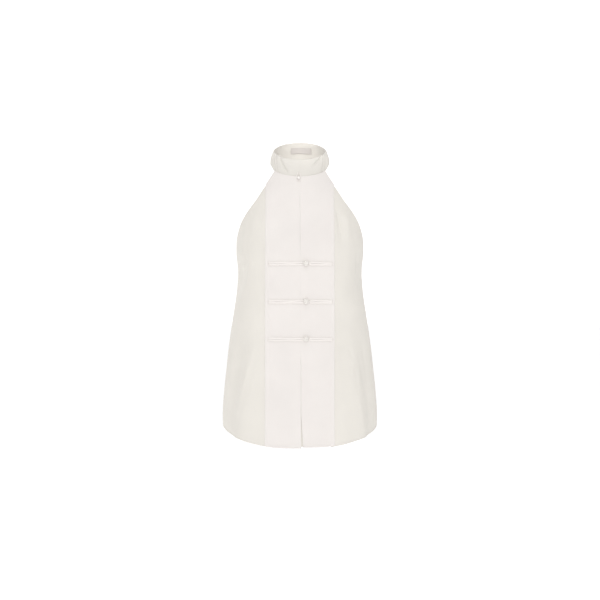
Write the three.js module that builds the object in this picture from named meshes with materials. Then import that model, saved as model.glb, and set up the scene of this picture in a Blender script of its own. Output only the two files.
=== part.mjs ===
// A halter neck top of light woven cloth, in millimetres, in the hollow form it has when it is worn.
// +Z is up and the front faces -Y. The origin is the centre of the neck, at the height of the collar's
// seam beside the neck. The wearer's right is -X. The top has a standing collar, two side fronts, a wide
// band down each side of the front opening, a guard behind the opening, a low back, three fastenings of
// doubled cord with round buttons, and one small loop and ball at the neck.
import * as THREE from "three";

// Cloth
const CLOTH = 1.2;
const COLLAR_CLOTH = 1.6;
const SEAM_GAP = 0.4;

// Front bands and opening
const BAND_HALF_WIDTH = 77.5;
const SEAM_ALLOWANCE = 9;
const BAND_LIFT = 0.3;
const OPENING_GAP = 0.8;
const OPENING_DRIFT = 3;
const OPENING_FLARE = 4;
const OPENING_FLARE_TOP = -560;
const GUARD_HALF_WIDTH = 15;
const LEFT_BAND_SHORTER = 2;

// Levels
const SHOULDER_POINT = -49.5;
const SIDE_FRONT_TOP = -52;
const UNDERARM = -177;
const STRAIGHT_ROWS_END = -300;
const HEM_AT_SIDE = -595;
const FRONT_ROWS = [3, 11, 6, 14];
const BACK_TOP_DIP = 20;

// Collar
const COLLAR_BOTTOM = { halfWidth: 66.5, front: 58, back: 60 };
const COLLAR_TOP = { halfWidth: 58.8, front: 50, back: 50, middle: 32, tilt: 24.5 };
const COLLAR_BULGE = 2.4;
const NECK_SEAM_DROP = 31;
const NECK_CORNER_HALF_WIDTH = 56.8;

// Fastenings
const CORD = { width: 4, height: 2.6, spacing: 4.2 };
const FASTENING_LEVELS = [-230, -314, -397];
const LOOP_OUTER_X = -70;
const TAIL_OUTER_X = 72.5;
const TAIL_INNER_X = 24.5;
const BUTTON_X = 13.5;
const BUTTON_RISE = 0.8;
const LOOP_RADIUS = 4.4;
const BUTTON = { radius: 6, thickness: 3, shank: 2, rim: 0.7, well: 0.9 };
const NECK_BALL = { x: -2.5, z: -35.5, radius: 3.4, shank: 1.1 };
const NECK_LOOP = { cord: 2, halfWidth: 4.6, top: -22.5, bottom: -43, lift: 2.2 };

// Label inside the collar at the nape, left plain
const LABEL = { x: 5, middle: 39, width: 48, height: 13.5, thickness: 1, lift: 0.3 };

// Level sections of the body: half width, depth to the front and to the back, and how square the curve is.
const SECTIONS = [
  { z: -5, halfWidth: 60, front: 48.8, back: 60, square: 2.0 },
  { z: -16, halfWidth: 69, front: 52.7, back: 64, square: 2.0 },
  { z: -41.5, halfWidth: 87.3, front: 61.7, back: 74, square: 2.1 },
  { z: -69.4, halfWidth: 108.2, front: 71.6, back: 84, square: 2.2 },
  { z: -97, halfWidth: 127, front: 81.4, back: 92, square: 2.3 },
  { z: -124, halfWidth: 139.5, front: 91, back: 96, square: 2.4 },
  { z: -150, halfWidth: 142.7, front: 100, back: 98, square: 2.45 },
  { z: -177, halfWidth: 145.3, front: 108.5, back: 98, square: 2.5 },
  { z: -204, halfWidth: 145.7, front: 115, back: 98, square: 2.5 },
  { z: -235, halfWidth: 142.9, front: 119.5, back: 97, square: 2.5 },
  { z: -262, halfWidth: 142.5, front: 121.5, back: 96, square: 2.5 },
  { z: -301, halfWidth: 145.5, front: 122.5, back: 96, square: 2.5 },
  { z: -356, halfWidth: 154.3, front: 123.5, back: 99, square: 2.45 },
  { z: -411, halfWidth: 162.5, front: 125, back: 104, square: 2.4 },
  { z: -466, halfWidth: 168.6, front: 127, back: 110, square: 2.35 },
  { z: -522, halfWidth: 174.4, front: 129.5, back: 116, square: 2.3 },
  { z: -577, halfWidth: 177.3, front: 132, back: 121, square: 2.3 },
  { z: -645, halfWidth: 172, front: 135, back: 126, square: 2.3 },
];

// The armhole's edge on the front, from the collar down to the underarm.
const ARMHOLE = [
  { z: -16, halfWidth: 56.6 },
  { z: -27.6, halfWidth: 63.4 },
  { z: -41.5, halfWidth: 72.3 },
  { z: -55.5, halfWidth: 81.4 },
  { z: -69.4, halfWidth: 90.4 },
  { z: -83.2, halfWidth: 99 },
  { z: -97, halfWidth: 109.2 },
  { z: -110.6, halfWidth: 119 },
  { z: -124, halfWidth: 127.2 },
  { z: -137.3, halfWidth: 134 },
  { z: -150.4, halfWidth: 138.9 },
  { z: -163.4, halfWidth: 142.8 },
  { z: -177, halfWidth: 145.3 },
];

// How far the hem hangs below its height at the side seams, by the angle from the middle.
const HEM = [
  { angle: 0, drop: 42.3 },
  { angle: 15, drop: 41.1 },
  { angle: 27, drop: 36.8 },
  { angle: 37, drop: 32 },
  { angle: 47, drop: 26 },
  { angle: 60, drop: 19.8 },
  { angle: 69, drop: 14.6 },
  { angle: 77, drop: 7 },
  { angle: 90, drop: 0 },
];

// The collar's lower edge, by the angle from the centre front.
const COLLAR_SEAM = [
  { angle: 0, z: -31 },
  { angle: 30, z: -26.8 },
  { angle: 60, z: -15.5 },
  { angle: 68, z: -8 },
  { angle: 75, z: -2.5 },
  { angle: 90, z: 3 },
  { angle: 120, z: 11 },
  { angle: 150, z: 16.5 },
  { angle: 180, z: 18.5 },
];

// Soft folds, as ridges and troughs: angle from the centre front at the top and at the hem, negative on the
// wearer's right, half width in degrees, height in millimetres, and the levels where it starts, is at its
// full height, and has died out again.
const FOLDS = [
  { atTop: -31, atHem: -46, width: 8, height: 4, start: -330, full: -480, end: -900 },
  { atTop: -48, atHem: -66, width: 10, height: -7, start: -310, full: -500, end: -900 },
  { atTop: 36, atHem: 52, width: 8, height: 4, start: -340, full: -500, end: -900 },
  { atTop: 53, atHem: 65, width: 9, height: -6, start: -320, full: -510, end: -900 },
  { atTop: 34.5, atHem: 33, width: 3, height: -2.2, start: -84, full: -130, end: -205 },
  { atTop: 45, atHem: 38, width: 7, height: 2.4, start: -92, full: -145, end: -225 },
  { atTop: -68, atHem: -70, width: 10, height: -6, start: -205, full: -252, end: -305 },
  { atTop: 72, atHem: 72, width: 8, height: -4, start: -190, full: -250, end: -320 },
  { atTop: 112, atHem: 115, width: 9, height: -6, start: -300, full: -560, end: -900 },
  { atTop: 134, atHem: 138, width: 9, height: 5, start: -280, full: -560, end: -900 },
  { atTop: 158, atHem: 160, width: 9, height: -6, start: -330, full: -600, end: -900 },
  { atTop: -110, atHem: -113, width: 9, height: -6, start: -320, full: -560, end: -900 },
  { atTop: -131, atHem: -134, width: 9, height: 6, start: -260, full: -560, end: -900 },
  { atTop: -153, atHem: -158, width: 10, height: -5, start: -340, full: -600, end: -900 },
];

const radians = THREE.MathUtils.degToRad;
const lerp = THREE.MathUtils.lerp;
const clamp01 = (t) => THREE.MathUtils.clamp(t, 0, 1);
const ease = (t) => clamp01(t) ** 2 * (3 - 2 * clamp01(t));

// Reads one column of a table at a key, along a smooth curve through its rows.
function smooth(table, key, at, column) {
  const rising = table[1][key] > table[0][key] ? 1 : -1;
  const last = table.length - 1;
  let i = table.findIndex((row) => (row[key] - at) * rising >= 0);
  i = i < 0 ? last : Math.max(i, 1);
  const [a, b] = [table[i - 1], table[i]];
  const span = b[key] - a[key];
  const before = table[i - 2] ?? a;
  const after = table[i + 1] ?? b;
  const slopeA = ((b[column] - before[column]) / (b[key] - before[key])) * span;
  const slopeB = ((after[column] - a[column]) / (after[key] - a[key])) * span;
  const t = clamp01((at - a[key]) / span);
  return (
    a[column] * (2 * t ** 3 - 3 * t ** 2 + 1) +
    slopeA * (t ** 3 - 2 * t ** 2 + t) +
    b[column] * (3 * t ** 2 - 2 * t ** 3) +
    slopeB * (t ** 3 - t ** 2)
  );
}

// The angle from the centre front at which a level section is x wide.
function angleAtWidth(x, z) {
  const share = Math.min(Math.abs(x) / smooth(SECTIONS, "z", z, "halfWidth"), 1);
  const square = smooth(SECTIONS, "z", z, "square");
  return Math.sign(x) * THREE.MathUtils.radToDeg(Math.asin(share ** (square / 2)));
}

// How far the folds move the cloth out at an angle and a level.
function foldHeight(angle, z) {
  return FOLDS.reduce((sum, fold) => {
    const grown = ease((fold.start - z) / (fold.start - fold.full));
    const left = 1 - ease((fold.full - z) / (fold.full - fold.end));
    const middle = lerp(fold.atTop, fold.atHem, clamp01((fold.start - z) / (fold.start + 640)));
    const turn = THREE.MathUtils.euclideanModulo(angle - middle + 180, 360) - 180;
    return sum + fold.height * grown * left * Math.exp(-((turn / fold.width) ** 2));
  }, 0);
}

// A point of the body's cloth: angle from the centre front, positive to +X, and level.
function bodyPoint(angle, z) {
  const square = smooth(SECTIONS, "z", z, "square");
  const [sine, cosine] = [Math.sin(radians(angle)), Math.cos(radians(angle))];
  const depth = smooth(SECTIONS, "z", z, cosine > 0 ? "front" : "back");
  const round = (value) => Math.sign(value) * Math.abs(value) ** (2 / square);
  const fold = foldHeight(angle, z);
  return new THREE.Vector3(
    smooth(SECTIONS, "z", z, "halfWidth") * round(sine) + fold * sine,
    -depth * round(cosine) - fold * cosine,
    z,
  );
}

// The same point moved out along the cloth's own normal.
function liftedPoint(angle, z, lift) {
  const step = 0.5;
  const around = bodyPoint(angle + step, z).sub(bodyPoint(angle - step, z));
  const up = bodyPoint(angle, z + step).sub(bodyPoint(angle, z - step));
  return bodyPoint(angle, z).addScaledVector(around.cross(up).normalize(), lift);
}

// Turns a closed geometry's faces to the outside.
function facingOut(geometry) {
  const position = geometry.getAttribute("position");
  const index = geometry.index.array;
  const corner = (i) => new THREE.Vector3().fromBufferAttribute(position, index[i]);
  let volume = 0;
  for (let i = 0; i < index.length; i += 3) {
    volume += corner(i).dot(corner(i + 1).cross(corner(i + 2)));
  }
  if (volume < 0) {
    geometry.setIndex(Array.from(index).reverse());
  }
  return geometry;
}

// A closed solid from two grids of points, [row][column]: a wall with an outer and an inner side.
function wall(outer, inner) {
  const rows = outer.length;
  const columns = outer[0].length;
  const positions = [...outer.flat(), ...inner.flat()].flatMap((point) => point.toArray());
  const out = (r, c) => r * columns + c;
  const back = (r, c) => (rows + r) * columns + c;
  const index = [];
  const quad = (a, b, c, d) => index.push(a, b, c, a, c, d);
  for (let r = 0; r < rows - 1; r += 1) {
    for (let c = 0; c < columns - 1; c += 1) {
      quad(out(r, c), out(r + 1, c), out(r + 1, c + 1), out(r, c + 1));
      quad(back(r, c), back(r, c + 1), back(r + 1, c + 1), back(r + 1, c));
    }
    quad(out(r, 0), back(r, 0), back(r + 1, 0), out(r + 1, 0));
    quad(out(r, columns - 1), out(r + 1, columns - 1), back(r + 1, columns - 1), back(r, columns - 1));
  }
  for (let c = 0; c < columns - 1; c += 1) {
    quad(out(0, c), out(0, c + 1), back(0, c + 1), back(0, c));
    quad(out(rows - 1, c), back(rows - 1, c), back(rows - 1, c + 1), out(rows - 1, c + 1));
  }
  return closedGeometry(positions, index);
}

function closedGeometry(positions, index) {
  const geometry = new THREE.BufferGeometry();
  geometry.setAttribute("position", new THREE.Float32BufferAttribute(positions, 3));
  geometry.setIndex(index);
  return facingOut(geometry);
}

const shares = (count) => Array.from({ length: count + 1 }, (_, i) => i / count);

// A panel of cloth. place(u, v) gives { angle, z } for shares across and down.
function panel(place, across, down, innerLift, thickness = CLOTH) {
  const side = (lift) =>
    down.map((v) =>
      across.map((u) => {
        const { angle, z } = place(u, v);
        return liftedPoint(angle, z, lift);
      }),
    );
  return wall(side(innerLift + thickness), side(innerLift));
}

const hemLevel = (angle) => {
  const turn = Math.abs(angle) > 90 ? 180 - Math.abs(angle) : Math.abs(angle);
  return HEM_AT_SIDE - smooth(HEM, "angle", turn, "drop");
};
const neckSeamLevel = (x) =>
  -NECK_SEAM_DROP * Math.sqrt(1 - (x / COLLAR_BOTTOM.halfWidth) ** 2) - SEAM_GAP * 2;
const armholeWidth = (z) => smooth(ARMHOLE, "z", z, "halfWidth");
const openingMiddle = (z) => OPENING_DRIFT * clamp01(z / HEM_AT_SIDE);

// Shares of the way down, with even rows between each pair of named levels.
const rowsBetween = (counts) => {
  const parts = counts.length;
  return [
    0,
    ...counts.flatMap((count, part) => shares(count).slice(1).map((t) => (part + t) / parts)),
  ];
};

// Reads a level from the list of named levels at a share of the way down.
const levelAt = (levels, v) => {
  const parts = levels.length - 1;
  const part = Math.min(Math.floor(v * parts), parts - 1);
  return lerp(levels[part], levels[part + 1], v * parts - part);
};

// A band beside the opening, from the collar to the hem; side is -1 on the wearer's right.
function frontBand(side) {
  const shorter = side > 0 ? LEFT_BAND_SHORTER : 0;
  const levels = (u) => [
    neckSeamLevel(u * NECK_CORNER_HALF_WIDTH),
    SHOULDER_POINT,
    UNDERARM,
    STRAIGHT_ROWS_END,
    hemLevel(angleAtWidth(u * BAND_HALF_WIDTH, HEM_AT_SIDE)) + shorter,
  ];
  const place = (u, v) => {
    const z = levelAt(levels(u), v);
    const outer = Math.min(armholeWidth(levelAt(levels(1), v)), BAND_HALF_WIDTH);
    const flare = side > 0 ? OPENING_FLARE * ease((OPENING_FLARE_TOP - z) / 80) : 0;
    const inner = openingMiddle(z) + side * (OPENING_GAP / 2) + flare;
    return { angle: angleAtWidth(lerp(inner, side * outer, u), z), z };
  };
  const seam = 1 - SEAM_ALLOWANCE / BAND_HALF_WIDTH;
  return panel(place, [...shares(6).map((u) => u * seam), 1], rowsBetween(FRONT_ROWS), BAND_LIFT);
}

// The angle, from the middle of the front or the back, where the cloth ends at the side seam.
function sideSeamAngle(z, half) {
  const share = SEAM_GAP / 2 / smooth(SECTIONS, "z", z, half);
  return THREE.MathUtils.radToDeg(Math.acos(share ** (smooth(SECTIONS, "z", z, "square") / 2)));
}

// A side front, from the seam under the band to the armhole and the side seam.
function sideFront(side) {
  const inner = BAND_HALF_WIDTH - SEAM_ALLOWANCE;
  const underBand = 1 / 11;
  const place = (u, v) => {
    const hem = u < underBand
      ? hemLevel(angleAtWidth(inner + (u / underBand) * SEAM_ALLOWANCE, HEM_AT_SIDE))
      : hemLevel(lerp(angleAtWidth(BAND_HALF_WIDTH, HEM_AT_SIDE), 90, (u - underBand) / (1 - underBand)));
    const z = Math.min(levelAt([SHOULDER_POINT, UNDERARM, STRAIGHT_ROWS_END, hem], v), SIDE_FRONT_TOP);
    if (u < underBand) {
      return { angle: side * angleAtWidth(inner + (u / underBand) * SEAM_ALLOWANCE, z), z };
    }
    const seam = sideSeamAngle(z, "front");
    const edge = z > UNDERARM ? Math.min(angleAtWidth(armholeWidth(z), z), seam) : seam;
    const outward = (u - underBand) / (1 - underBand);
    return { angle: side * lerp(angleAtWidth(BAND_HALF_WIDTH, z), edge, outward), z };
  };
  return panel(place, shares(11), rowsBetween(FRONT_ROWS.slice(1)), -CLOTH);
}

// The guard behind the opening, sewn to the wearer's left band.
function openingGuard() {
  const place = (u, v) => {
    const aside = lerp(-GUARD_HALF_WIDTH, GUARD_HALF_WIDTH, u);
    const hem = hemLevel(0) + 2 * LEFT_BAND_SHORTER;
    const z = levelAt([neckSeamLevel(aside), SHOULDER_POINT, UNDERARM, STRAIGHT_ROWS_END, hem], v);
    return { angle: angleAtWidth(openingMiddle(z) + aside, z), z };
  };
  return panel(place, shares(2), rowsBetween(FRONT_ROWS), -CLOTH);
}

// The low back, from one side seam round to the other.
function lowBack() {
  const place = (u, v) => {
    const across = 180 * u;
    const top = UNDERARM - BACK_TOP_DIP * Math.sin(radians(across)) ** 2;
    const z = lerp(top, hemLevel(90 - across), v);
    return { angle: 180 + sideSeamAngle(z, "back") * (2 * u - 1), z };
  };
  return panel(place, shares(30), shares(20), -CLOTH);
}

// A point of the collar: angle from the centre front, share of the way up, and distance out.
function collarPoint(angle, up, lift) {
  const [sine, cosine] = [Math.sin(radians(angle)), Math.cos(radians(angle))];
  const turn = Math.abs(angle) > 180 ? 360 - Math.abs(angle) : Math.abs(angle);
  const ring = (size) =>
    new THREE.Vector2(size.halfWidth * sine, -(cosine > 0 ? size.front : size.back) * cosine);
  const plan = ring(COLLAR_BOTTOM).lerp(ring(COLLAR_TOP), up);
  const bulge = COLLAR_BULGE * sine ** 4 * Math.sin(Math.PI * up);
  plan.addScaledVector(new THREE.Vector2(sine, -cosine), bulge + lift);
  const bottom = smooth(COLLAR_SEAM, "angle", turn, "z");
  const top = COLLAR_TOP.middle - COLLAR_TOP.tilt * cosine;
  return new THREE.Vector3(plan.x, plan.y, lerp(bottom, top, up));
}

function collar() {
  const opening = THREE.MathUtils.radToDeg(OPENING_GAP / 2 / COLLAR_BOTTOM.front);
  const side = (lift) =>
    shares(5).map((up) => shares(48).map((u) => collarPoint(lerp(opening, 360 - opening, u), up, lift)));
  return wall(side(COLLAR_CLOTH / 2), side(-COLLAR_CLOTH / 2));
}

// The plain label inside the collar, at the nape.
function collarLabel() {
  const middleAngle = 180 - THREE.MathUtils.radToDeg(LABEL.x / COLLAR_TOP.back);
  const half = THREE.MathUtils.radToDeg(LABEL.width / 2 / COLLAR_TOP.back) * 0.93;
  const upAt = (z) => (z - 18.5) / (COLLAR_TOP.middle + COLLAR_TOP.tilt - 18.5);
  const side = (lift) =>
    shares(2).map((v) =>
      shares(8).map((u) => {
        const up = upAt(LABEL.middle + LABEL.height * (0.5 - v));
        return collarPoint(middleAngle + half * (2 * u - 1), up, lift);
      }),
    );
  const face = -COLLAR_CLOTH / 2 - LABEL.lift;
  return wall(side(face), side(face - LABEL.thickness));
}

// A cord that lies on the front bands. path gives its middle as { x, z } points.
function cordOnFront(path, lift, size, sides = 8) {
  const positions = [];
  const index = [];
  const last = path.length - 1;
  path.forEach((point, i) => {
    const [before, after] = [path[Math.max(i - 1, 0)], path[Math.min(i + 1, last)]];
    const along = new THREE.Vector2(after.x - before.x, after.z - before.z).normalize();
    for (let k = 0; k < sides; k += 1) {
      const turn = (2 * Math.PI * (k + 0.5)) / sides;
      const aside = (Math.cos(turn) * size.width) / 2 / Math.cos(Math.PI / sides);
      const height = lift + size.height * (0.5 + (0.5 * Math.sin(turn)) / Math.cos(Math.PI / sides));
      const [x, z] = [point.x - along.y * aside, point.z + along.x * aside];
      positions.push(...liftedPoint(angleAtWidth(x, z), z, height).toArray());
    }
  });
  for (let i = 0; i < last; i += 1) {
    for (let k = 0; k < sides; k += 1) {
      const [a, b] = [i * sides + k, i * sides + ((k + 1) % sides)];
      index.push(a, b, b + sides, a, b + sides, a + sides);
    }
  }
  for (let k = 1; k < sides - 1; k += 1) {
    index.push(0, k + 1, k, last * sides, last * sides + k, last * sides + k + 1);
  }
  return closedGeometry(positions, index);
}

const cordLift = BAND_LIFT + CLOTH + SEAM_GAP;

// The doubled cord on the wearer's right, which ends in a loop round the button's shank.
function loopCord(level) {
  const half = CORD.spacing / 2;
  const start = Math.asin(half / LOOP_RADIUS);
  const buttonLevel = level + BUTTON_RISE;
  const straight = shares(9).map((t) => lerp(LOOP_OUTER_X, BUTTON_X - LOOP_RADIUS * 2, t));
  const round = shares(12).map((t) => Math.PI - start - (2 * Math.PI - 2 * start) * t);
  const path = [
    ...straight.map((x) => ({ x, z: level + half })),
    ...round.map((turn) => ({
      x: BUTTON_X + LOOP_RADIUS * Math.cos(turn),
      z: buttonLevel + LOOP_RADIUS * Math.sin(turn),
    })),
    ...straight.toReversed().map((x) => ({ x, z: level - half })),
  ];
  return cordOnFront(path, cordLift, CORD);
}

// The doubled cord on the wearer's left, turned back on itself beside the button.
function tailCord(level) {
  const half = CORD.spacing / 2;
  const straight = shares(7).map((t) => lerp(TAIL_OUTER_X, TAIL_INNER_X, t));
  const round = [45, 90, 135].map((degrees) => radians(degrees));
  const path = [
    ...straight.map((x) => ({ x, z: level + half })),
    ...round.map((turn) => ({ x: TAIL_INNER_X - half * Math.sin(turn), z: level + half * Math.cos(turn) })),
    ...straight.toReversed().map((x) => ({ x, z: level - half })),
  ];
  return cordOnFront(path, cordLift, CORD);
}

// A turned piece that stands on the front, its axis along the cloth's normal.
function standing(profile, x, z, segments) {
  const geometry = new THREE.LatheGeometry(
    profile.map(([radius, height]) => new THREE.Vector2(radius, height)),
    segments,
  );
  const angle = angleAtWidth(x, z);
  const foot = liftedPoint(angle, z, 0);
  const normal = liftedPoint(angle, z, 1).sub(foot);
  const turn = new THREE.Quaternion().setFromUnitVectors(new THREE.Vector3(0, 1, 0), normal);
  return { geometry, foot, turn };
}

// A round button with a raised rim, on a shank that stands on the band.
function buttonProfile() {
  const under = cordLift + CORD.height + SEAM_GAP;
  const top = under + BUTTON.thickness;
  const foot = BAND_LIFT + CLOTH + BAND_LIFT;
  const inside = BUTTON.radius - 1.6;
  return [
    [0, foot],
    [BUTTON.shank, foot],
    [BUTTON.shank, under],
    [BUTTON.radius - 1, under],
    [BUTTON.radius, under + 1],
    [BUTTON.radius - BUTTON.rim, top],
    [inside, top],
    [inside - 0.8, top - BUTTON.well],
    [0, top - BUTTON.well],
  ];
}

function ballProfile() {
  const foot = BAND_LIFT + CLOTH + BAND_LIFT;
  const middle = foot + NECK_BALL.radius + 0.6;
  const start = Math.acos(-Math.sqrt(1 - (NECK_BALL.shank / NECK_BALL.radius) ** 2));
  const arc = shares(6).map((t) => {
    const turn = start * (1 - t);
    return [NECK_BALL.radius * Math.sin(turn), middle + NECK_BALL.radius * Math.cos(turn)];
  });
  arc[arc.length - 1][0] = 0;
  return [[0, foot], [NECK_BALL.shank, foot], ...arc];
}

// The small loop of cord that holds the ball at the neck. Its two ends lie side by side at the top.
function neckLoopCord() {
  const middle = (NECK_LOOP.top + NECK_LOOP.bottom) / 2;
  const half = (NECK_LOOP.top - NECK_LOOP.bottom) / 2;
  const split = radians(14);
  const path = shares(18).map((t) => {
    const turn = split + (2 * Math.PI - 2 * split) * t;
    return {
      x: NECK_BALL.x + NECK_LOOP.halfWidth * Math.sin(turn) * (1 - 0.22 * Math.cos(turn)),
      z: middle + half * Math.cos(turn),
    };
  });
  const size = { width: NECK_LOOP.cord, height: NECK_LOOP.cord };
  return cordOnFront(path, NECK_LOOP.lift, size, 6);
}

const cloth = (name, color) => new THREE.MeshStandardMaterial({ name, color, roughness: 0.8, metalness: 0 });
const materials = {
  cloth: cloth("cloth", 0xefebe2),
  cord: cloth("cord", 0xf2eee4),
  label: cloth("label", 0xd9d4cd),
  button: new THREE.MeshStandardMaterial({ name: "button", color: 0xf0ece6, roughness: 0.3, metalness: 0 }),
};

const top = new THREE.Group();
const add = (name, geometry, material) => {
  const mesh = new THREE.Mesh(geometry, material);
  mesh.name = name;
  top.add(mesh);
  return mesh;
};
const addStanding = (name, profile, x, z, segments, material) => {
  const { geometry, foot, turn } = standing(profile, x, z, segments);
  const mesh = add(name, geometry, material);
  mesh.position.copy(foot);
  mesh.quaternion.copy(turn);
};

add("front_right", sideFront(-1), materials.cloth);
add("front_left", sideFront(1), materials.cloth);
add("band_right", frontBand(-1), materials.cloth);
add("band_left", frontBand(1), materials.cloth);
add("opening_guard", openingGuard(), materials.cloth);
add("back", lowBack(), materials.cloth);
add("collar", collar(), materials.cloth);
add("collar_label", collarLabel(), materials.label);
FASTENING_LEVELS.forEach((level, i) => {
  add(`cord_loop_${i + 1}`, loopCord(level), materials.cord);
  add(`cord_tail_${i + 1}`, tailCord(level), materials.cord);
  addStanding(`button_${i + 1}`, buttonProfile(), BUTTON_X, level + BUTTON_RISE, 16, materials.button);
});
add("neck_loop", neckLoopCord(), materials.cord);
addStanding("neck_ball", ballProfile(), NECK_BALL.x, NECK_BALL.z, 12, materials.button);

export default top;
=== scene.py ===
"""A halter neck top of ivory woven cloth, in the hollow form it has when worn, over its solids.

Sizes are in millimetres and angles in degrees, in the part's own frame: +Z up, the front faces
-Y, and the wearer's right is -X. Meshes are made in metres.
"""

import math

import bpy
import numpy as np
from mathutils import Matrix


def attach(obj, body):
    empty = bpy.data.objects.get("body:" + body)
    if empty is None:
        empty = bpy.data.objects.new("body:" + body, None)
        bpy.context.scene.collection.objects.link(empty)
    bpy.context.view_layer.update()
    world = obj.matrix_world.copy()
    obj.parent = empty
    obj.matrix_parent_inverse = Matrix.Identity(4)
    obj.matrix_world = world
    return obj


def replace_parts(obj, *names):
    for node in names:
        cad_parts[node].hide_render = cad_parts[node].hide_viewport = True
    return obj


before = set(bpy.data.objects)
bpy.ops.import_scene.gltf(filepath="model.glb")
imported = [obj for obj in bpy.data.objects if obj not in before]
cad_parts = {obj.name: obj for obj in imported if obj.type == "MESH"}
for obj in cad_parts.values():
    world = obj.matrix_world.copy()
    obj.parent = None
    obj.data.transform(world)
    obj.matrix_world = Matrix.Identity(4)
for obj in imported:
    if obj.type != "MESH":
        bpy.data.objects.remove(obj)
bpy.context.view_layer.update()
MM = 0.001

# The part's named sizes
CLOTH = 1.2
COLLAR_CLOTH = 1.6
SEAM_GAP = 0.4
BAND_HALF_WIDTH = 77.5
SEAM_ALLOWANCE = 9
BAND_LIFT = 0.3
OPENING_GAP = {"shut": 0.12, "chest": 0.5, "skirt": 0.55}
OPENING_DRIFT = 3
OPENING_FLARE = 4
OPENING_FLARE_TOP = -560
OPENING_FLARE_HEIGHT = 80
GUARD_HALF_WIDTH = 15
GUARD_DEPTH = 0.1
LEFT_BAND_SHORTER = 2
SIDE_FRONT_TOP = -52
SHOULDER_POINT = -49.5
UNDERARM = -177
HEM_AT_SIDE = -595
BACK_TOP_DIP = 20
COLLAR_BOTTOM = (66.5, 58, 60)
COLLAR_TOP = (58.8, 50, 50)
COLLAR_TOP_MIDDLE = 32
COLLAR_TILT = 24.5
COLLAR_BULGE = 1.7
COLLAR_GAP = 0.3
NECK_SEAM_GAP = 0.1
NECK_SEAM_DROP = 31
NECK_CORNER_HALF_WIDTH = 56.8
CORD_WIDTH = 4
CORD_HEIGHT = 2.6
CORD_SPACING = 4.2
FASTENING_LEVELS = (-230, -314, -397)
LOOP_OUTER_X = -70
TAIL_OUTER_X = 72.5
TAIL_INNER_X = 24.5
BUTTON_X = 13.5
BUTTON_RISE = 0.8
LOOP_RADIUS = 4.4
BUTTON_RADIUS = 6
BUTTON_THICKNESS = 3
BALL = {"x": -2.5, "z": -35.5, "radius": 3.4, "shank": 1.1}
BALL_HEIGHT = 1.7
NECK_LOOP = {
    "cord": 2, "height": 1.5, "half_width": 4.6, "top": -22.5, "bottom": -43, "lift": 2.2,
    "sink": 0.3, "taper": 0.22, "open_angle": 14,
}
LABEL = {
    "x": 2.6, "middle": 39, "width": 48, "height": 13.5, "lift": 0.65, "thickness": 0.6,
    "ease": 0.99, "lip": 0.5, "lip_width": 0.34,
}

# Sewing
STITCH = 2.3
STITCH_GAP = 0.7
THREAD = 0.22
HEM_STITCH = 3.6
HEM_TURN = 5
ARMHOLE_STITCH = 6.5
ARMHOLE_TURN = 8
STITCH_LIFT = 0.02
BAND_STITCH_LIFT = {"hem": 0.05, "armhole": 0.1}
THREAD_SINK = 0.02
THREAD_ARCH = 0.12
THREAD_END = 0.08

# A turned edge stands out by TURN_HEIGHT and falls off over TURN_STEP. Its seam pulls the whole
# edge in by a share of that height, and a narrow dent along the stitches by another.
TURN_HEIGHT = 0.3
TURN_STEP = 1.6
TURN_REACH = 2
TURN_PULL = 0.3
STITCH_DENT = {"depth": 0.55, "width": 0.7}

# Level sections: level, half width, depth to the front, depth to the back, squareness
SECTIONS = np.array([
    (-5, 60, 48.8, 60, 2.0),
    (-16, 69, 52.7, 64, 2.0),
    (-41.5, 87.3, 61.7, 74, 2.1),
    (-69.4, 108.2, 71.6, 84, 2.2),
    (-97, 127, 81.4, 92, 2.3),
    (-124, 139.5, 91, 96, 2.4),
    (-150, 142.7, 100, 98, 2.45),
    (-177, 145.3, 108.5, 98, 2.5),
    (-204, 145.7, 115, 98, 2.5),
    (-235, 142.9, 119.5, 97, 2.5),
    (-262, 142.5, 121.5, 96, 2.5),
    (-301, 145.5, 122.5, 96, 2.5),
    (-356, 154.3, 123.5, 99, 2.45),
    (-411, 162.5, 125, 104, 2.4),
    (-466, 168.6, 127, 110, 2.35),
    (-522, 174.4, 129.5, 116, 2.3),
    (-577, 177.3, 132, 121, 2.3),
    (-645, 172, 135, 126, 2.3),
])
HALF_WIDTH, FRONT, BACK, SQUARE = 1, 2, 3, 4

# Armhole edge: level, half width
ARMHOLE = np.array([
    (-16, 56.6),
    (-27.6, 63.4),
    (-41.5, 72.3),
    (-55.5, 81.4),
    (-69.4, 90.4),
    (-83.2, 99),
    (-97, 109.2),
    (-110.6, 119),
    (-124, 127.2),
    (-137.3, 134),
    (-150.4, 138.9),
    (-163.4, 142.8),
    (-177, 145.3),
])

# Hem: angle from the middle of the front or back, drop below the side seam's hem
HEM = np.array([
    (0, 42.3), (15, 41.1), (27, 36.8), (37, 32), (47, 26),
    (60, 19.8), (69, 14.6), (77, 7), (90, 0),
])

# Collar's lower edge: angle from the centre front, level
COLLAR_SEAM = np.array([
    (0, -31), (30, -26.8), (60, -15.5), (68, -8), (75, -2.5),
    (90, 3), (120, 11), (150, 16.5), (180, 18.5),
])

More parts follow.
